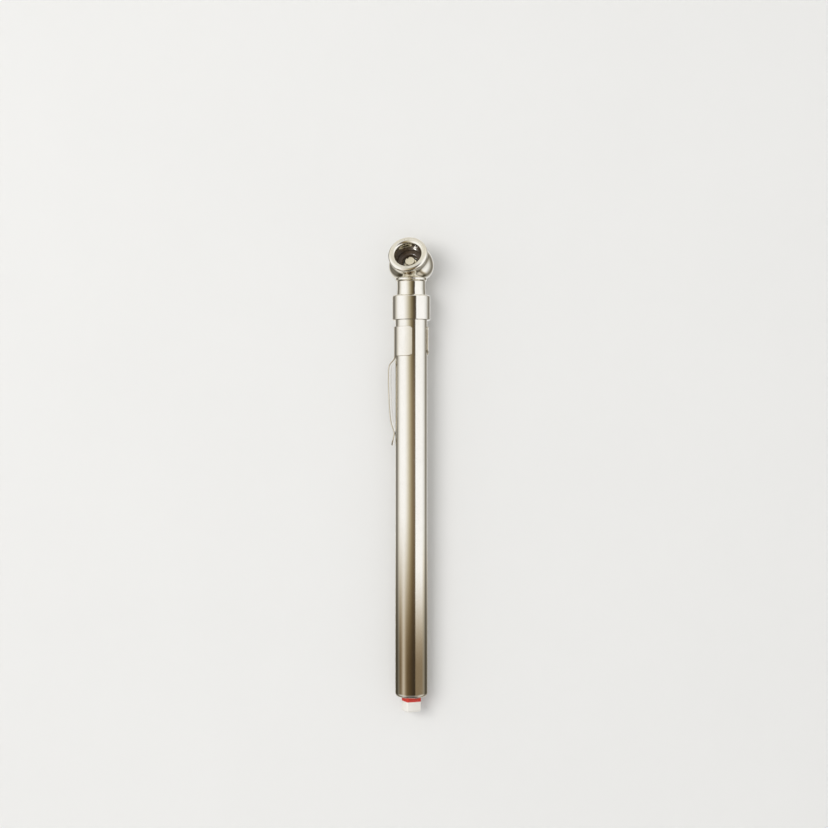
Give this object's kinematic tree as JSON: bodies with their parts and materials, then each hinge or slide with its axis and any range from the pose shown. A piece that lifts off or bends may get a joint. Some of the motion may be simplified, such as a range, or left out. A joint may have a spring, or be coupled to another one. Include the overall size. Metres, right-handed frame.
{
  "type": "tire pressure gauge",
  "caption": "Pencil tyre pressure gauge: a ball chuck head on a slim chromed barrel, with a sliding square indicator bar and a pocket clip.",
  "frame": {"origin": "on the chuck's axis at the lower end of its straight bore, where the end of a tyre valve lands", "axes": "+Y along the barrel, from the ball head to the indicator bar; the chuck opens towards +Z, leaning 26 degrees towards -Y; the clip's tongue is on +X. The gauge lies on its back"},
  "size_m": [0.0144, 0.1495, 0.0162],
  "materials": {
    "chrome_cast": "bright chrome plate over a zinc die casting, slightly warm, faint casting waviness",
    "chrome_collar": "bright chrome plate, turned",
    "chrome_tube": "bright chrome plate on drawn brass tube, fine draw lines and light handling marks",
    "chrome_clip": "bright plated sheet steel",
    "depressor_brass": "turned, plated brass, worn pale at the tip",
    "brass": "turned brass",
    "steel": "zinc plated steel",
    "spring_steel": "drawn spring wire",
    "rubber": "moulded black rubber",
    "bar_nylon": "white nylon with a printed scale and a red band",
    "bushing_plastic": "black moulded plastic"
  },
  "bodies": {
    "barrel": {"head_casting": "chrome_cast", "chuck_washer": "rubber", "valve_depressor": "depressor_brass", "head_o_ring": "rubber", "collar": "chrome_collar", "barrel_tube": "chrome_tube", "end_bushing": "bushing_plastic", "drag_spring": "spring_steel", "spring_adjuster": "brass", "rear_spring_seat": "steel", "calibrated_spring": "spring_steel"},
    "clip": {"pocket_clip": "chrome_clip"},
    "piston": {"piston_body": "brass", "piston_cup": "rubber", "cup_clamp_washer": "steel", "piston_screw": "steel", "front_spring_seat": "steel"},
    "indicator": {"indicator_bar": "bar_nylon", "bar_stop_disc": "steel", "bar_stop_screw": "steel"}
  },
  "joints": [
    {"name": "piston_stroke", "type": "slide", "parent": "barrel", "child": "piston", "axis": [0, 1, 0], "range_m": [0, 0.048], "stiffness_N_per_m": 893, "springref_m": -0.0096, "deforming": ["calibrated_spring"]},
    {"name": "indicator_slide", "type": "slide", "parent": "piston", "child": "indicator", "axis": [0, 1, 0], "range_m": [0, 0.048]},
    {"name": "clip_turn", "type": "hinge", "parent": "barrel", "child": "clip", "pos_m": [0, 0.03, -0.00279], "axis": [0, -1, 0], "continuous": true}
  ]
}
